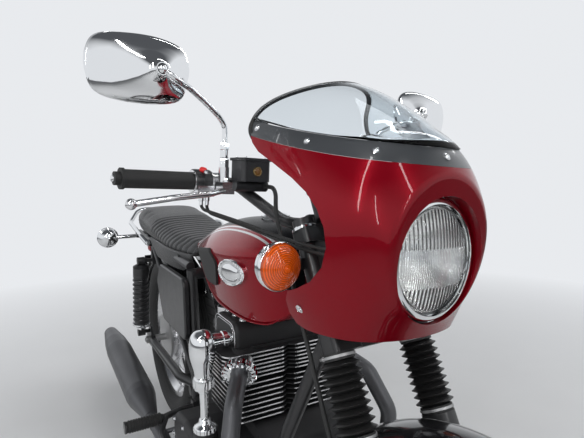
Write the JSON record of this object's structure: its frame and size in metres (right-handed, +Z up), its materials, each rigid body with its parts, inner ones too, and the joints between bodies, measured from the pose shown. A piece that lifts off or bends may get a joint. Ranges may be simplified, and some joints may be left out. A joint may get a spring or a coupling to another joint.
{
  "type": "cafe racer motorcycle",
  "caption": "Parallel-twin cafe racer with a cockpit fairing, wire wheels and a long seat, parked on its centre stand; steering, wheels and both stands move.",
  "frame": {"origin": "on the floor under the middle of the bounding box", "axes": "+X forward along the machine, +Y to the rider's left, +Z up"},
  "size_m": [2.1303, 0.875, 1.2442],
  "materials": {
    "black_paint": "satin black",
    "gloss_black": "gloss black",
    "black_engine": "satin black with polished fin edges",
    "red_paint": "candy red under clear coat",
    "chrome": "polished",
    "polished": "polished",
    "steel": "brushed",
    "dark_steel": "satin dark grey",
    "rubber": "matte",
    "tyre": "matte",
    "dark_plastic": "satin",
    "seat_cover": "grained black vinyl",
    "clear_glass": "fluted clear",
    "clear_screen": "clear acrylic",
    "amber_lens": "amber, ringed",
    "red_lens": "red"
  },
  "bodies": {
    "steering": {"fork_yokes": "black_paint", "fork_gaiters": "rubber", "fork_sliders": "black_paint", "brake_caliper": "black_paint", "front_fender": "gloss_black", "headlight_shell": "black_paint", "headlight_rim": "chrome", "headlight_lens": "clear_glass", "fairing": "red_paint", "screen_band": "dark_plastic", "windscreen": "clear_screen", "handlebar": "black_paint", "grips": "rubber", "bar_controls": "polished", "brake_reservoir": "dark_plastic", "mirrors": "chrome", "front_signal_shells": "chrome", "front_signal_lenses": "amber_lens", "instruments": "dark_plastic", "control_cables": "rubber"},
    "front_wheel": {"front_tyre": "tyre", "front_wheel": "polished", "brake_disc": "steel"},
    "rear_wheel": {"rear_tyre": "tyre", "rear_wheel": "polished", "sprocket": "steel"},
    "chassis": {"main_frame": "black_paint", "crankcase": "black_engine", "cylinders": "black_engine", "cylinder_head": "black_engine", "cam_cover": "black_engine", "bevel_tower": "chrome", "carburettors": "polished", "exhaust_collars": "chrome", "exhausts": "dark_steel", "fuel_tank": "red_paint", "tank_trim": "chrome", "knee_pads": "rubber", "seat": "seat_cover", "side_covers": "gloss_black", "drive_chain": "steel", "swingarm": "black_paint", "rear_axle": "steel", "chain_guard": "gloss_black", "rear_shocks": "black_paint", "rear_fender": "gloss_black", "tail_lamp": "red_lens", "grab_rail": "chrome", "rear_signal_shells": "chrome", "rear_signal_lenses": "amber_lens", "foot_controls": "black_paint"},
    "centre_stand": {"centre_stand": "black_paint"},
    "side_stand": {"side_stand": "black_paint"}
  },
  "joints": [
    {"name": "steering_turn", "type": "hinge", "parent": "chassis", "child": "steering", "pos_m": [0.45549, 0, 0.78409], "axis": [-0.454, 0, 0.891], "range_deg": [-43.3, 26.7]},
    {"name": "front_wheel_spin", "type": "hinge", "parent": "steering", "child": "front_wheel", "pos_m": [0.74659, 0.0064, 0.30939], "axis": [-0.1286, 0.9895, -0.0655], "continuous": true},
    {"name": "rear_wheel_spin", "type": "hinge", "parent": "chassis", "child": "rear_wheel", "pos_m": [-0.718, 0, 0.345], "axis": [0, 1, 0], "continuous": true},
    {"name": "centre_stand_fold", "type": "hinge", "parent": "chassis", "child": "centre_stand", "pos_m": [-0.178, 0, 0.225], "axis": [0, 1, 0], "range_deg": [0, 84]},
    {"name": "side_stand_fold", "type": "hinge", "parent": "chassis", "child": "side_stand", "pos_m": [0.002, 0.146, 0.205], "axis": [-0.0925, -0.88, -0.4658], "range_deg": [0, 92.6]}
  ]
}
